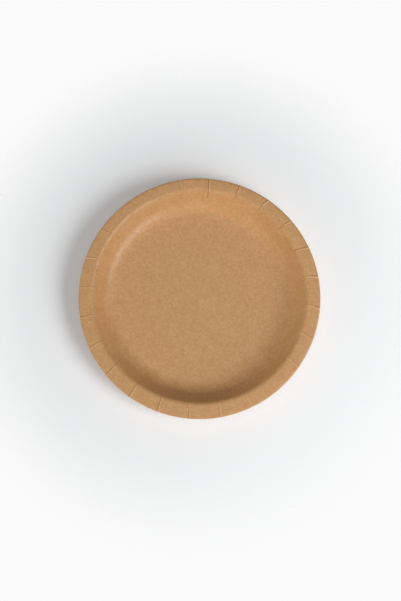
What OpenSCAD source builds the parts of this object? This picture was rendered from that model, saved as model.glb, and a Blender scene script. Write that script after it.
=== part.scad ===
// Round paper plate, pressed from one sheet of kraft paperboard.
// The sheet has no seams: pressing it into a dish gathers the spare board of
// the rim into evenly spaced pleats, which run from the wall to the cut edge.
// Origin at the centre of the underside, +Z up, millimetres.

/* [Plate] */
// Outside diameter across the rim
plate_d = 230; // [190:1:300]
// Height from the table to the top of the rim
plate_h = 20; // [15:0.5:30]
// Thickness of the paperboard
board_t = 0.45; // [0.35:0.05:0.8]

/* [Wall] */
// Slope of the wall above the table, in degrees
wall_angle = 55; // [45:1:65]
// Radius of the bend from the floor up into the wall, on the upper face
foot_r = 16; // [8:0.5:20]
// Radius of the bend from the wall over into the rim, on the lower face
crest_r = 4.5; // [2:0.5:8]

/* [Rim] */
// Width of the rim from the top of the wall's bend to its cut edge
rim_w = 10.5; // [6:0.5:16]
// Width of the lip along the cut edge, where the level rim turns down
lip_w = 4; // [2:0.5:6]
// Slope of the lip where it ends, below the horizontal, in degrees
lip_angle = 10; // [5:1:40]

/* [Pleats] */
// Number of pleats round the rim
pleat_count = 24; // [12:1:36]
// Bearing of the first pleat from +X, in degrees
pleat_bearing = 10; // [0:1:14]
// Bearing of the board's grain from +X, in degrees: every fold leans over towards this side
grain_bearing = 135; // [0:5:355]
// Width of a fold at the cut edge
fold_w = 2.6; // [1:0.1:4]
// Height of a fold above the board beside it
fold_rise = 0.35; // [0.2:0.05:0.6]
// Width of the crease beside a fold, at the cut edge
crease_w = 0.5; // [0.2:0.1:1]
// Depth of the crease beside a fold
crease_depth = 0.15; // [0.05:0.05:0.15]
// Width of the slit under a fold, at the cut edge
slit_w = 0.5; // [0.2:0.1:0.8]
// Depth of the slit under a fold
slit_depth = 0.3; // [0.1:0.05:0.4]

/* [Hidden] */

kraft_brown = "#BD9066";
round_fn = 180;
foot_steps = 5;
crest_steps = 4;
lip_steps = 2;
cut_margin = 2;

// Length of straight wall that is left between its two bends
bend_rise = (foot_r + crest_r + board_t) * (1 - cos(wall_angle));
wall_len = (plate_h - board_t - bend_rise) / sin(wall_angle);

// Radii of the start of the lip, of the rim's inner line, of the wall's ends and of the flat floor
lip_line_r = plate_d / 2 - lip_w;
crest_line_r = plate_d / 2 - rim_w;
wall_top_r = crest_line_r - (crest_r + board_t) * sin(wall_angle);
wall_foot_r = wall_top_r - wall_len * cos(wall_angle);
floor_r = wall_foot_r - foot_r * sin(wall_angle);

// The lip bends down in one arc, from level to its slope at the cut edge
lip_r = lip_w / sin(lip_angle) - board_t;

// Centres of the three bends
foot_centre = [floor_r, board_t + foot_r];
crest_centre = [crest_line_r, plate_h - board_t - crest_r];
lip_centre = [lip_line_r, plate_h - board_t - lip_r];

// The lip is drawn past its cut edge, so that one cut trims board and pleats alike
lip_end_angle = lip_angle + asin(min(0.7, cut_margin / lip_r));
pleat_reach = plate_d / 2 + cut_margin;

function reverse(list) = [for (i = [len(list) - 1:-1:0]) list[i]];

function arc(centre, radius, from, to, steps) = [
    for (i = [0:steps])
        let (a = from + (to - from) * i / steps)
            centre + radius * [cos(a), sin(a)]
];

// Lines through the section at a height above the board's lower face:
// from the axis to the top of the foot bend, and from the top of the wall to the rim's end
function floor_line(height) = concat(
    [[0, height]],
    arc(foot_centre, foot_r + board_t - height, -90, wall_angle - 90, foot_steps)
);
function rim_line(height) = concat(
    arc(crest_centre, crest_r + height, 90 + wall_angle, 90, crest_steps),
    arc(lip_centre, lip_r + height, 90, 90 - lip_end_angle, lip_steps)
);

// A band of the section between two heights, from the foot of the wall to the rim's end.
// It starts at one height on the wall's foot and opens out as it climbs the wall.
module rim_band(foot_height, low, high) {
    wall_foot = foot_centre
        + (foot_r + board_t - foot_height) * [cos(wall_angle - 90), sin(wall_angle - 90)];
    polygon(concat([wall_foot], rim_line(high), reverse(rim_line(low))));
}

// Plan of a pleat along +X: a wedge from a point on the wall's foot out past the cut edge,
// where it lies between two distances to the side of the pleat's own radius
module wedge(side_a, side_b) {
    spread = (pleat_reach - wall_foot_r) / (plate_d / 2 - wall_foot_r);
    polygon([
        [wall_foot_r, 0],
        [pleat_reach, side_a * spread],
        [pleat_reach, side_b * spread]
    ]);
}

// The side of a pleat that lies towards the grain's bearing
function lean(bearing) = sin(grain_bearing - bearing) >= 0 ? 1 : -1;

// A band of the section drawn out to the sides, and kept only inside each pleat's wedge
module on_pleats(side_a, side_b, foot_height, low, high) {
    for (i = [0:pleat_count - 1]) {
        bearing = pleat_bearing + i * 360 / pleat_count;
        rotate(bearing)
            intersection() {
                rotate([90, 0, 0])
                    linear_extrude(plate_d / pleat_count, center = true)
                        rim_band(foot_height, low, high);
                linear_extrude(plate_h + cut_margin)
                    wedge(lean(bearing) * side_a, lean(bearing) * side_b);
            }
    }
}

// The board pressed to shape, before its folds
module pressed_board() {
    rotate_extrude($fn = round_fn)
        polygon(concat(
            floor_line(board_t), rim_line(board_t),
            reverse(rim_line(0)), reverse(floor_line(0))
        ));
}

// A pleat's spare board, folded over and pressed flat on the upper face
module folds() {
    on_pleats(-fold_w / 2, fold_w / 2, board_t / 2, board_t / 2, board_t + fold_rise);
}

// The line beside each fold, on the side it leans to, where the upper face is drawn under it
module creases() {
    on_pleats(
        fold_w / 2 - crease_w / 2, fold_w / 2 + crease_w,
        board_t + crease_depth, board_t - crease_depth, board_t + cut_margin
    );
}

// The line on the lower face where the two sides of a fold meet
module slits() {
    on_pleats(-slit_w / 2, slit_w / 2, -slit_depth, -cut_margin / 2, slit_depth);
}

module plate() {
    color(kraft_brown)
        intersection() {
            difference() {
                union() {
                    difference() {
                        pressed_board();
                        creases();
                    }
                    folds();
                }
                slits();
            }
            cylinder(d = plate_d, h = plate_h + cut_margin, $fn = round_fn);
        }
}

plate();
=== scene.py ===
"""A round kraft paper plate, pressed from one sheet of board, seen from almost straight above."""

import math
import random

import bmesh
import bpy
from mathutils import Matrix, Vector, noise


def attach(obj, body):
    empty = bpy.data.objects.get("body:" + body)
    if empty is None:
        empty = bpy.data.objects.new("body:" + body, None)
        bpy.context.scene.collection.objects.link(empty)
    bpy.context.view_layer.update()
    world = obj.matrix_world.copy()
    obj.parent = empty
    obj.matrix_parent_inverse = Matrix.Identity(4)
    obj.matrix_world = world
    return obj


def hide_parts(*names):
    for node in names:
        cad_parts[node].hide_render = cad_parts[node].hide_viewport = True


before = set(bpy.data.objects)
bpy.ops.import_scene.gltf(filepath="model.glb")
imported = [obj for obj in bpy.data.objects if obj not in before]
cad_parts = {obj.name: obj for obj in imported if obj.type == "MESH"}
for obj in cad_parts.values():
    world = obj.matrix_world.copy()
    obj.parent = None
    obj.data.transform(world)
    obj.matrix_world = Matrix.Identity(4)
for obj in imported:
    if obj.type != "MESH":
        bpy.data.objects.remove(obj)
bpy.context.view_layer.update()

MM = 0.001

# Sizes of the pressed board, in millimetres and degrees, as in the solid that it dresses
PLATE_R = 115.0
PLATE_H = 20.0
BOARD_T = 0.45
WALL_ANGLE = 55.0
FOOT_R = 16.0
CREST_R = 4.5
RIM_W = 10.5
LIP_W = 4.0
LIP_ANGLE = 10.0
EDGE_SOFTNESS = 0.12

# The dish sits a little off the centre of its rim, so the rim is wider on the near side
DISH_SHIFT = Vector((-0.1, 1.6, 0.0))

# Pleats round the rim: flattened folds, each with a crease along one side.
# Folds that cross the grain of the board lean over and crease more sharply, and take more painted
# shade in their creases. Those along it stay soft.
GRAIN_BEARING = 135.0
PLEAT_COUNT = 24
PLEAT_BEARING = 10.0
PLEAT_PITCH = 360.0 / PLEAT_COUNT
PLEAT_RUN = 4.0
FOLD_RISE = 0.33
FOLD_HALF_W = 1.3
FOLD_TIP_SHARE = 0.12
FOLD_SLOPE_W = 0.55
FOLD_DROP_W = 0.3
FOLD_SOFT_W = 0.9
FOLD_CROWN = 0.02
CREASE_DEPTH = 0.2
CREASE_SHADE_HALF_W = 0.4
RIDGE_HIGHLIGHT_HALF_W = 0.45
VALLEY_W = 1.0
BACK_VALLEY_SHARE = 0.2
SLIT_DEPTH = 0.2
SLIT_HALF_W = 0.3

# Pleats that stand out from the rest, counted anticlockwise from the first, which is 0.
# A pleat starts at a share of the wall's length. Long pleats start further down the wall and carry
# a painted shade line on it. Deep pleats have deeper creases with more painted shade, flat pleats
# shallower ones with less. Highlight pleats carry a stronger painted highlight on their ridge.
LONG_PLEATS = (5, 6, 11, 18, 19)
DEEP_PLEATS = (5,)
FLAT_PLEATS = (18, 19, 20, 21)
HIGHLIGHT_PLEATS = (0, 5, 10, 18, 19, 20, 21, 22, 23)
LONG_START = 0.25
DEEP_FACTOR = 2.2
FLAT_FACTOR = 0.35
HIGHLIGHT_FACTOR = 2.4
WALL_SHADE_LINE = 0.6

# How the pleats differ by chance. Shift and sway are in millimetres, lean is a slope,
# start is a share of the wall's length, and the others are factors.
PLEAT_SEED = 13322
SHARP_RANGE = (0.6, 1.2)
SHIFT_RANGE = (-0.3, 0.3)
LEAN_RANGE = (-0.05, 0.05)
SWAY_RANGE = (-0.3, 0.3)
RISE_RANGE = (0.75, 1.0)
WIDTH_RANGE = (0.8, 1.2)
START_RANGE = (0.7, 0.9)

# What is left of a fold's sharpness and rise where it runs along the grain
SHARP_LEAST = 0.1
RISE_LEAST = 0.55

# Radians that a swaying path turns in each millimetre
SWAY_TURN = 0.4

# Slow unevenness of the board
WAVE_DEPTH = 0.22
WAVE_LEN = 24.0
WAVE_SLICE = 0.35

# The mesh: degrees of fine columns on each side of a pleat, numbers of columns,
# rings of points on the floor, and the distance within which points are one
PLEAT_ZONE = 2.0
PLEAT_COLUMNS = 56
PANEL_COLUMNS = 4
FLOOR_RINGS = [0.0, 30.0, 56.0, 70.0]
MERGE_DIST = 0.004

# Colours of board, floor and air, in linear light
KRAFT_PALE = (0.553, 0.319, 0.147)
KRAFT_DARK = (0.402, 0.1965, 0.0665)
KRAFT_SPECK = (0.26, 0.125, 0.05)
# Painted shade: a dark colour laid into the creases and slits, standing in for the shade that
# falls there
CREASE_SHADE_COLOUR = (0.2, 0.09, 0.035)
# Painted highlight: a pale colour laid along the fold's sloping edge, standing in for the light it
# catches
RIDGE_HIGHLIGHT_COLOUR = (0.74, 0.43, 0.2)
FLOOR_PALE = (0.856, 0.867, 0.876, 1.0)
AIR_PALE = (0.96, 0.96, 0.96, 1.0)

# Crossed layers of fibres, each with its turn in degrees, and length and width in millimetres.
# The bend is how much they wander. An edge is where a mark begins and ends.
FIBRE_LAYERS = ((12, 9.0, 0.45), (-38, 7.0, 0.4), (63, 7.0, 0.4))
FIBRE_BEND = 0.6
FIBRE_EDGE = (0.56, 0.78)

# Scales of the other marks of the pulp
NOISE_ROUGHNESS = 0.55
CLOUD_SCALE = 105.0
GRAIN_SCALE = 400.0
SPECK_SCALE = 190.0
SPECK_EDGE = (0.05, 0.09)

# What each mark adds to the tone and to the relief
CLOUD_TONE = 0.24
GRAIN_TONE = 0.56
FIBRE_TONE = 0.25
FIBRE_RELIEF = 0.6
RELIEF_DEPTH = 0.04

# Tones at which the board is darkest and palest, and roughest and smoothest
COLOUR_TONES = (0.2, 0.7)
ROUGH_TONES = (0.2, 0.8)
ROUGHEST = 0.46
SMOOTHEST = 0.38

# How far specks, the painted highlight on ridges and the painted shade in creases take over the
# board's colour
SPECK_SHARE = 0.35
RIDGE_HIGHLIGHT_SHARE = 0.2
CREASE_SHADE_SHARE = 0.85

# Sockets of a mix of colours, which share their names with those of a mix of plain values
MIX_SHARE, MIX_BASE, MIX_COLOUR, MIX_RESULT = 0, 6, 7, 2

# Floor and camera, in metres and degrees. The field is the picture's height at the aim.
FLOOR_HALF_W = 3.0
FLOOR_GAP = 0.05 * MM
FADE_START = 0.14
FADE_END = 0.26
CAMERA_ELEVATION = 84.6
CAMERA_AIM = Vector((0.001, -0.00205, 0.012))
CAMERA_DISTANCE = 1.1
CAMERA_FIELD = 0.5752


# The section of the board

def section_sizes():
    """Radii and bend centres of the section, from the sizes above."""
    slope = math.radians(WALL_ANGLE)
    bend_rise = (FOOT_R + CREST_R + BOARD_T) * (1 - math.cos(slope))
    wall_len = (PLATE_H - BOARD_T - bend_rise) / math.sin(slope)
    crest_line_r = PLATE_R - RIM_W
    wall_top_r = crest_line_r - (CREST_R + BOARD_T) * math.sin(slope)
    wall_foot_r = wall_top_r - wall_len * math.cos(slope)
    floor_r = wall_foot_r - FOOT_R * math.sin(slope)
    lip_line_r = PLATE_R - LIP_W
    lip_r = LIP_W / math.sin(math.radians(LIP_ANGLE)) - BOARD_T
    return {
        "wall_len": wall_len,
        "crest_line_r": crest_line_r,
        "floor_r": floor_r,
        "lip_r": lip_r,
        "foot_centre": (floor_r, BOARD_T + FOOT_R),
        "crest_centre": (crest_line_r, PLATE_H - BOARD_T - CREST_R),
        "lip_centre": (lip_line_r, PLATE_H - BOARD_T - lip_r),
    }


SECTION = section_sizes()
FOOT_LEN = FOOT_R * math.radians(WALL_ANGLE)
CREST_LEN = (CREST_R + BOARD_T) * math.radians(WALL_ANGLE)
LIP_LEN = (SECTION["lip_r"] + BOARD_T) * math.radians(LIP_ANGLE)

# Distances along the upper face, from the axis, where one form ends and the next begins
FOOT_START = SECTION["floor_r"]
WALL_START = FOOT_START + FOOT_LEN
CREST_START = WALL_START + SECTION["wall_len"]
RIM_START = CREST_START + CREST_LEN
LIP_START = RIM_START + RIM_W - LIP_W
RIM_END = LIP_START + LIP_LEN


def on_arc(centre, radius, degrees):
    """Point of the section on a bend."""
    a = math.radians(degrees)
    return centre[0] + radius * math.cos(a), centre[1] + radius * math.sin(a)


def section_point(reach, height):
    """Point of the section at a distance along the upper face and a height over the lower."""
    if reach <= FOOT_START:
        return reach, height
    if reach <= WALL_START:
        turn = WALL_ANGLE * (reach - FOOT_START) / FOOT_LEN
        return on_arc(SECTION["foot_centre"], FOOT_R + BOARD_T - height, turn - 90)
    if reach <= CREST_START:
        x, z = on_arc(SECTION["foot_centre"], FOOT_R + BOARD_T - height, WALL_ANGLE - 90)
        slope = math.radians(WALL_ANGLE)
        climb = reach - WALL_START
        return x + climb * math.cos(slope), z + climb * math.sin(slope)
    if reach <= RIM_START:
        turn = WALL_ANGLE * (reach - CREST_START) / CREST_LEN
        return on_arc(SECTION["crest_centre"], CREST_R + height, 90 + WALL_ANGLE - turn)
    if reach <= LIP_START:
        return SECTION["crest_line_r"] + reach - RIM_START, PLATE_H - BOARD_T + height
    turn = LIP_ANGLE * (reach - LIP_START) / LIP_LEN
    return on_arc(SECTION["lip_centre"], SECTION["lip_r"] + height, 90 - turn)


def spaced(start, end, count):
    """Evenly spaced values after start, up to end."""
    return [start + (end - start) * (i + 1) / count for i in range(count)]


def section_stations(foot, wall, crest, rim, lip):
    """Distances along the section of the mesh's rings of points, by steps in each form."""
    return (
        FLOOR_RINGS + [FOOT_START]
        + spaced(FOOT_START, WALL_START, foot)
        + spaced(WALL_START, CREST_START, wall)
        + spaced(CREST_START, RIM_START, crest)
        + spaced(RIM_START, LIP_START, rim)
        + spaced(LIP_START, RIM_END - EDGE_SOFTNESS, lip)
    )


# The pleats

def smooth_ramp(value, start, end):
    """0 before start, 1 after end, and an even curve between."""
    t = min(1.0, max(0.0, (value - start) / (end - start)))
    return t * t * (3 - 2 * t)


def groove(offset, half_width):
    """Rounded bump of height 1 across a line."""
    u = abs(offset) / half_width
    return (1 - u * u) ** 2 if u < 1 else 0.0


def fold_profile(across, half_width, drop_w, rise, depth):
    """Section across a pleat: a flat fold that drops on one side into a fading valley."""
    side_w = drop_w if across > 0 else FOLD_SLOPE_W
    valley = depth if across > 0 else BACK_VALLEY_SHARE * depth
    across = abs(across)
    if across > half_width:
        return -valley * (1 - smooth_ramp(across, half_width, half_width + VALLEY_W))
    side = smooth_ramp(across, half_width - min(side_w, half_width), half_width)
    return rise * (1 - side) - valley * side


def from_least(least, share):
    """A share from 0 to 1, carried into the range from its least to 1."""
    return least + (1 - least) * share


def make_pleats():
    """How each pleat differs from the next: no two folds of pressed board are quite alike."""
    rng = random.Random(PLEAT_SEED)
    pleats = []
    for i in range(PLEAT_COUNT):
        crossing = math.sin(math.radians(GRAIN_BEARING - PLEAT_BEARING - i * PLEAT_PITCH))
        strength = abs(crossing)
        pressed = DEEP_FACTOR if i in DEEP_PLEATS else FLAT_FACTOR if i in FLAT_PLEATS else 1.0
        pleats.append({
            "side": math.copysign(1, crossing),
            "drop_w": FOLD_SOFT_W + (FOLD_DROP_W - FOLD_SOFT_W) * strength,
            "sharpness": from_least(SHARP_LEAST, strength) * rng.uniform(*SHARP_RANGE) * pressed,
            "shift": rng.uniform(*SHIFT_RANGE),
            "lean": rng.uniform(*LEAN_RANGE),
            "sway": rng.uniform(*SWAY_RANGE),
            "rise": FOLD_RISE * from_least(RISE_LEAST, strength) * rng.uniform(*RISE_RANGE),
            "half_w": FOLD_HALF_W * rng.uniform(*WIDTH_RANGE),
            "start": LONG_START if i in LONG_PLEATS else rng.uniform(*START_RANGE),
            "wall_shade_line": WALL_SHADE_LINE if i in LONG_PLEATS else 0.0,
            "pale": HIGHLIGHT_FACTOR if i in HIGHLIGHT_PLEATS else 1.0,
        })
    return pleats


PLEATS = make_pleats()


def pleat_at(bearing):
    """The nearest pleat, and the angle from it in degrees."""
    turns = (bearing - PLEAT_BEARING) / PLEAT_PITCH
    nearest = round(turns)
    return PLEATS[nearest % PLEAT_COUNT], (turns - nearest) * PLEAT_PITCH


def pleat_form(bearing, reach, radius, upper):
    """How far the pleat lifts the face here, in millimetres, and shares of painted crease shade
    and painted ridge highlight.
    """
    pleat, angle = pleat_at(bearing)
    past_crest = reach - RIM_START
    path = pleat["shift"] + pleat["lean"] * past_crest
    path += pleat["sway"] * math.sin(past_crest * SWAY_TURN)
    offset = math.radians(angle) * radius - path
    start = WALL_START + SECTION["wall_len"] * pleat["start"]
    grown = smooth_ramp(reach, start, start + PLEAT_RUN)
    along = max(0.0, (reach - WALL_START) / (RIM_END - WALL_START))
    half_w = pleat["half_w"] * from_least(FOLD_TIP_SHARE, along * along)
    across = offset * pleat["side"]
    depth = CREASE_DEPTH * pleat["sharpness"]
    if not upper:
        slit = groove(across, SLIT_HALF_W)
        lift = fold_profile(across, half_w, pleat["drop_w"], 0.0, depth) + SLIT_DEPTH * slit
        # The slit under the fold takes the painted crease shade
        return grown * lift, grown * slit, 0.0
    lift = fold_profile(across, half_w, pleat["drop_w"], pleat["rise"], depth)
    lift += FOLD_CROWN * groove(across, half_w)
    # Painted shade along the crease at the fold's dropping edge
    crease = pleat["sharpness"] * groove(across - half_w, CREASE_SHADE_HALF_W)
    on_wall = 1 - smooth_ramp(reach, CREST_START, RIM_START)
    # Long pleats also carry a painted shade line down the wall
    crease = max(crease, pleat["wall_shade_line"] * on_wall * groove(across, CREASE_SHADE_HALF_W))
    # Painted highlight along the fold's sloping edge, stronger on the listed pleats
    ridge_highlight = pleat["pale"] * groove(across + half_w - FOLD_SLOPE_W / 2, RIDGE_HIGHLIGHT_HALF_W)
    return grown * lift, grown * crease, grown * ridge_highlight


def board_wave(x, y, reach):
    """Slow unevenness of the pressed rim and wall, in millimetres."""
    grown = smooth_ramp(reach, FOOT_START, RIM_END)
    place = Vector((x / WAVE_LEN, y / WAVE_LEN, WAVE_SLICE))
    return -grown * WAVE_DEPTH * (0.5 + 0.5 * noise.noise(place))


# The plate

def spin_section(bm, outline):
    """Spins one pleat and the panel beside it, then repeats them round the axis."""
    zone = 2 * PLEAT_ZONE
    for degrees, columns in ((zone, PLEAT_COLUMNS), (PLEAT_PITCH - zone, PANEL_COLUMNS)):
        spun = bmesh.ops.spin(
            bm, geom=outline, cent=(0, 0, 0), axis=(0, 0, 1),
            angle=math.radians(degrees), steps=columns,
        )
        outline = spun["geom_last"]
    sector = bm.verts[:] + bm.edges[:] + bm.faces[:]
    bmesh.ops.spin(
        bm, geom=sector, cent=(0, 0, 0), axis=(0, 0, 1), use_duplicate=True,
        angle=math.radians(360 - PLEAT_PITCH), steps=PLEAT_COUNT - 1,
    )


def make_plate():
    """The pressed board: a section spun into a dish, with its pleats raised and creased."""
    bm = bmesh.new()
    reach_of = bm.verts.layers.float.new("reach")
    height_of = bm.verts.layers.float.new("height")
    crease_of = bm.verts.layers.float.new("crease")
    ridge_highlight_of = bm.verts.layers.float.new("ridge_highlight")
    top = [(s, BOARD_T) for s in section_stations(foot=9, wall=7, crest=9, rim=5, lip=3)]
    cut = [(RIM_END, BOARD_T - EDGE_SOFTNESS), (RIM_END, EDGE_SOFTNESS)]
    rings_under = section_stations(foot=4, wall=3, crest=4, rim=2, lip=2)
    under = [(s, 0.0) for s in reversed(rings_under)]
    first = math.radians(PLEAT_BEARING - PLEAT_ZONE)
    turn = Matrix.Rotation(first, 3, "Z")
    line = []
    for reach, height in top + cut + under:
        x, z = section_point(reach, height)
        vert = bm.verts.new(turn @ Vector((x, 0, z)) * MM)
        vert[reach_of] = reach
        vert[height_of] = height / BOARD_T
        line.append(vert)
    edges = [bm.edges.new(pair) for pair in zip(line, line[1:])]
    spin_section(bm, line + edges)
    bmesh.ops.remove_doubles(bm, verts=bm.verts, dist=MERGE_DIST * MM)
    bmesh.ops.recalc_face_normals(bm, faces=bm.faces)
    bm.normal_update()
    raise_pleats(bm, reach_of, height_of, crease_of, ridge_highlight_of)
    shift_dish(bm, reach_of)
    for face in bm.faces:
        face.smooth = True
    mesh = bpy.data.meshes.new("pressed_plate")
    bm.to_mesh(mesh)
    bm.free()
    plate = bpy.data.objects.new("pressed_plate", mesh)
    bpy.context.scene.collection.objects.link(plate)
    return plate


def raise_pleats(bm, reach_of, height_of, crease_of, ridge_highlight_of):
    """Moves the points of the rim and wall to form the pleats and the board's slow unevenness."""
    moves = []
    for vert in bm.verts:
        reach = vert[reach_of]
        if reach <= FOOT_START:
            continue
        x, y = vert.co.x / MM, vert.co.y / MM
        radius = math.hypot(x, y)
        bearing = math.degrees(math.atan2(y, x))
        upper = vert[height_of] > 0.5
        lift, vert[crease_of], vert[ridge_highlight_of] = pleat_form(bearing, reach, radius, upper)
        normal = vert.normal if upper else -vert.normal
        if reach > LIP_START:
            normal = Vector((0, 0, 1))
        rise = Vector((0, 0, board_wave(x, y, reach)))
        moves.append((vert, (normal * lift + rise) * MM))
    for vert, move in moves:
        vert.co += move


def shift_dish(bm, reach_of):
    """Moves the dish sideways inside its rim, which takes up the move over its width."""
    for vert in bm.verts:
        held = smooth_ramp(vert[reach_of], RIM_START, RIM_END)
        vert.co += DISH_SHIFT * (1 - held) * MM


# Materials

def add(tree, kind, **values):
    """A node with its properties set."""
    made = tree.nodes.new(kind)
    for name, value in values.items():
        setattr(made, name, value)
    return made


def set_inputs(node, **values):
    """Plain values on a node's inputs, by name with underscores for spaces."""
    for name, value in values.items():
        node.inputs[name.replace("_", " ")].default_value = value


def link(tree, source, target):
    tree.links.new(source, target)


def new_group(name, outputs):
    """A shader node group that takes a place and gives the named values."""
    group = bpy.data.node_groups.new(name, "ShaderNodeTree")
    group.interface.new_socket(name="Place", in_out="INPUT", socket_type="NodeSocketVector")
    for output in outputs:
        group.interface.new_socket(name=output, in_out="OUTPUT", socket_type="NodeSocketFloat")
    return group, add(group, "NodeGroupInput"), add(group, "NodeGroupOutput")


def rescale(tree, source, from_min, from_max, to_min=0.0, to_max=1.0):
    """A value carried from one range to another, and held inside it."""
    node = add(tree, "ShaderNodeMapRange", interpolation_type="SMOOTHSTEP")
    set_inputs(node, From_Min=from_min, From_Max=from_max, To_Min=to_min, To_Max=to_max)
    link(tree, source, node.inputs["Value"])
    return node.outputs["Result"]


def combine(tree, operation, first, second):
    """Two values, or a value and a plain number, joined by one operation."""
    node = add(tree, "ShaderNodeMath", operation=operation)
    for socket, value in zip(node.inputs, (first, second)):
        if isinstance(value, float):
            socket.default_value = value
        else:
            link(tree, value, socket)
    return node.outputs["Value"]


def noise_value(tree, place, scale, detail, distortion=0.0):
    """Cloudy value from 0 to 1 at a place."""
    node = add(tree, "ShaderNodeTexNoise")
    set_inputs(node, Scale=scale, Detail=detail, Distortion=distortion)
    set_inputs(node, Roughness=NOISE_ROUGHNESS)
    link(tree, place, node.inputs["Vector"])
    return node.outputs["Fac"]


def fibre_lines(tree, place, turn, length, width):
    """Cloudy value drawn out into long thin lines, all turned by one angle."""
    turned = add(tree, "ShaderNodeMapping")
    set_inputs(turned, Rotation=(0, 0, math.radians(turn)))
    link(tree, place, turned.inputs["Vector"])
    drawn = add(tree, "ShaderNodeMapping")
    set_inputs(drawn, Scale=(1 / (length * MM), 1 / (width * MM), 1 / (width * MM)))
    link(tree, turned.outputs["Vector"], drawn.inputs["Vector"])
    place = drawn.outputs["Vector"]
    return noise_value(tree, place, scale=1.0, detail=1.0, distortion=FIBRE_BEND)


def fibre_group():
    """Pressed wood pulp: slow clouds, fine grain, crossed fibres and a few dark specks."""
    group, start, end = new_group("kraft_fibres", ("Tone", "Speck", "Relief"))
    place = start.outputs["Place"]
    clouds = noise_value(group, place, CLOUD_SCALE, detail=1.0)
    grain = noise_value(group, place, GRAIN_SCALE, detail=2.0)
    first_layer, *other_layers = FIBRE_LAYERS
    lines = fibre_lines(group, place, *first_layer)
    for layer in other_layers:
        lines = combine(group, "MAXIMUM", lines, fibre_lines(group, place, *layer))
    pale_lines = rescale(group, lines, *FIBRE_EDGE)
    tone = combine(group, "MULTIPLY", clouds, CLOUD_TONE)
    tone = combine(group, "ADD", tone, combine(group, "MULTIPLY", grain, GRAIN_TONE))
    tone = combine(group, "ADD", tone, combine(group, "MULTIPLY", pale_lines, FIBRE_TONE))
    cells = add(group, "ShaderNodeTexVoronoi")
    set_inputs(cells, Scale=SPECK_SCALE)
    link(group, place, cells.inputs["Vector"])
    speck = rescale(group, cells.outputs["Distance"], *SPECK_EDGE, to_min=1.0, to_max=0.0)
    relief = combine(group, "ADD", combine(group, "MULTIPLY", pale_lines, FIBRE_RELIEF), grain)
    link(group, tone, end.inputs["Tone"])
    link(group, speck, end.inputs["Speck"])
    link(group, relief, end.inputs["Relief"])
    return group


def shade(tree, base, share, colour):
    """A colour that goes over to another by a share from 0 to 1."""
    node = add(tree, "ShaderNodeMix", data_type="RGBA")
    node.inputs[MIX_COLOUR].default_value = (*colour, 1)
    link(tree, share, node.inputs[MIX_SHARE])
    link(tree, base, node.inputs[MIX_BASE])
    return node.outputs[MIX_RESULT]


def kraft_material():
    """Brown kraft board with a slight pressed sheen, with painted shade in creases and painted
    highlights on ridges.
    """
    material = bpy.data.materials.new("kraft_paperboard")
    material.use_nodes = True
    tree = material.node_tree
    shader = tree.nodes["Principled BSDF"]
    place = add(tree, "ShaderNodeTexCoord")
    fibres = add(tree, "ShaderNodeGroup")
    fibres.node_tree = fibre_group()
    link(tree, place.outputs["Object"], fibres.inputs["Place"])
    tone = add(tree, "ShaderNodeValToRGB")
    ends = zip(tone.color_ramp.elements, COLOUR_TONES, (KRAFT_DARK, KRAFT_PALE))
    for element, position, kraft in ends:
        element.position = position
        element.color = (*kraft, 1)
    link(tree, fibres.outputs["Tone"], tone.inputs["Fac"])
    specks = combine(tree, "MULTIPLY", fibres.outputs["Speck"], SPECK_SHARE)
    colour = shade(tree, tone.outputs["Color"], specks, KRAFT_SPECK)
    # Painted highlight on the ridges
    ridge_highlight_node = add(tree, "ShaderNodeAttribute", attribute_name="ridge_highlight")
    ridge_highlights = combine(tree, "MULTIPLY", ridge_highlight_node.outputs["Fac"], RIDGE_HIGHLIGHT_SHARE)
    colour = shade(tree, colour, ridge_highlights, RIDGE_HIGHLIGHT_COLOUR)
    # Painted shade in the creases
    creased = add(tree, "ShaderNodeAttribute", attribute_name="crease")
    creases = combine(tree, "MULTIPLY", creased.outputs["Fac"], CREASE_SHADE_SHARE)
    colour = shade(tree, colour, creases, CREASE_SHADE_COLOUR)
    link(tree, colour, shader.inputs["Base Color"])
    rough = rescale(tree, fibres.outputs["Tone"], *ROUGH_TONES, to_min=ROUGHEST, to_max=SMOOTHEST)
    link(tree, rough, shader.inputs["Roughness"])
    bump = add(tree, "ShaderNodeBump")
    set_inputs(bump, Strength=0.5, Distance=RELIEF_DEPTH * MM)
    link(tree, fibres.outputs["Relief"], bump.inputs["Height"])
    link(tree, bump.outputs["Normal"], shader.inputs["Normal"])
    set_inputs(shader, IOR=1.48, Specular_IOR_Level=0.42)
    return material


def seen_rays(tree):
    """1 for rays that show the background: straight to the camera, mirrored or through glass."""
    path = add(tree, "ShaderNodeLightPath")
    seen = combine(tree, "MAXIMUM", path.outputs["Is Camera Ray"], path.outputs["Is Glossy Ray"])
    return combine(tree, "MAXIMUM", seen, path.outputs["Is Transmission Ray"])


def floor_material():
    """Pale studio floor, which holds the plate's shadow and fades into pale air away from it."""
    material = bpy.data.materials.new("pale_floor")
    material.use_nodes = True
    tree = material.node_tree
    shader = tree.nodes["Principled BSDF"]
    set_inputs(shader, Base_Color=FLOOR_PALE, Roughness=0.9, Specular_IOR_Level=0.1)

    place = add(tree, "ShaderNodeTexCoord")
    distance = add(tree, "ShaderNodeVectorMath", operation="LENGTH")
    link(tree, place.outputs["Object"], distance.inputs["Vector"])
    away = rescale(tree, distance.outputs["Value"], FADE_START, FADE_END)
    fade = combine(tree, "MULTIPLY", away, seen_rays(tree))

    clear = add(tree, "ShaderNodeBsdfTransparent")
    blend = add(tree, "ShaderNodeMixShader")
    link(tree, fade, blend.inputs["Fac"])
    link(tree, shader.outputs["BSDF"], blend.inputs[1])
    link(tree, clear.outputs["BSDF"], blend.inputs[2])
    link(tree, blend.outputs["Shader"], tree.nodes["Material Output"].inputs["Surface"])
    return material


# Stage, light and camera

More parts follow.
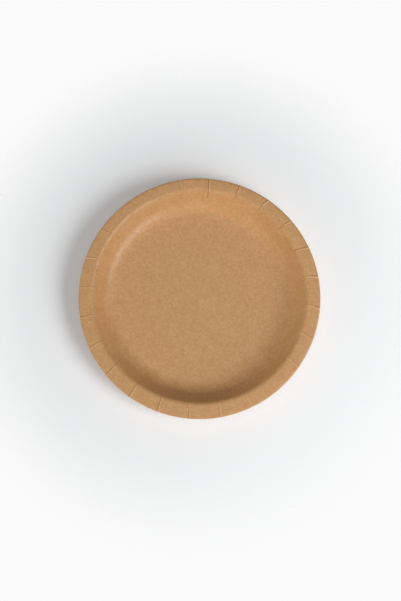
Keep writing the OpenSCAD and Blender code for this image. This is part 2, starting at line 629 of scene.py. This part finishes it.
def make_floor():
    """A wide pale floor just under the plate."""
    bm = bmesh.new()
    bmesh.ops.create_grid(bm, x_segments=1, y_segments=1, size=FLOOR_HALF_W)
    bmesh.ops.translate(bm, verts=bm.verts, vec=(0, 0, -FLOOR_GAP))
    mesh = bpy.data.meshes.new("pale_floor")
    bm.to_mesh(mesh)
    bm.free()
    mesh.materials.append(floor_material())
    floor = bpy.data.objects.new("pale_floor", mesh)
    bpy.context.scene.collection.objects.link(floor)


def make_lamp(name, bearing, elevation, distance, width, power, fill=False):
    """A soft round lamp that faces the plate, set in degrees, metres and watts.

    A fill lamp throws no shadow and gives no sheen.
    """
    lamp = bpy.data.lights.new(name, "AREA")
    lamp.shape = "DISK"
    lamp.size = width
    lamp.energy = power
    holder = bpy.data.objects.new(name, lamp)
    a, e = math.radians(bearing), math.radians(elevation)
    way = Vector((math.cos(a) * math.cos(e), math.sin(a) * math.cos(e), math.sin(e)))
    holder.location = way * distance
    holder.rotation_mode = "QUATERNION"
    holder.rotation_quaternion = way.to_track_quat("Z", "Y")
    lamp.use_shadow = not fill
    holder.visible_glossy = not fill
    bpy.context.scene.collection.objects.link(holder)


def make_world():
    """Pale air all round, seen by the camera and in the plate's sheen. It lights nothing else."""
    world = bpy.data.worlds.new("studio_air")
    bpy.context.scene.world = world
    world.use_nodes = True
    tree = world.node_tree
    air = tree.nodes["Background"]
    set_inputs(air, Color=AIR_PALE)
    link(tree, seen_rays(tree), air.inputs["Strength"])


def make_camera():
    """Almost straight above, tipped a little towards the near side."""
    tilt = math.radians(CAMERA_ELEVATION)
    camera = bpy.data.cameras.new("camera")
    camera.lens = camera.sensor_width * CAMERA_DISTANCE / CAMERA_FIELD
    holder = bpy.data.objects.new("camera", camera)
    back = Vector((0, -math.cos(tilt), math.sin(tilt)))
    holder.location = CAMERA_AIM + back * CAMERA_DISTANCE
    holder.rotation_mode = "QUATERNION"
    holder.rotation_quaternion = (-back).to_track_quat("-Z", "Y")
    bpy.context.scene.collection.objects.link(holder)
    bpy.context.scene.camera = holder


plate = make_plate()
plate.data.materials.append(kraft_material())
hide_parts("plate")
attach(plate, "root")

make_floor()
make_lamp("right_lamp", bearing=-23, elevation=41, distance=1.6, width=0.88, power=15.4)
make_lamp("near_lamp", bearing=-45, elevation=25, distance=2.0, width=1.1, power=14.0)
make_lamp("top_lamp", bearing=0, elevation=90, distance=2.5, width=2.6, power=12.2)
make_lamp("left_fill", bearing=195, elevation=22, distance=3.0, width=2.4, power=70.0, fill=True)
make_lamp("low_near_fill", bearing=260, elevation=8, distance=3.0, width=0.8, power=7.5, fill=True)
make_world()
make_camera()
bpy.context.scene.view_settings.view_transform = "Standard"
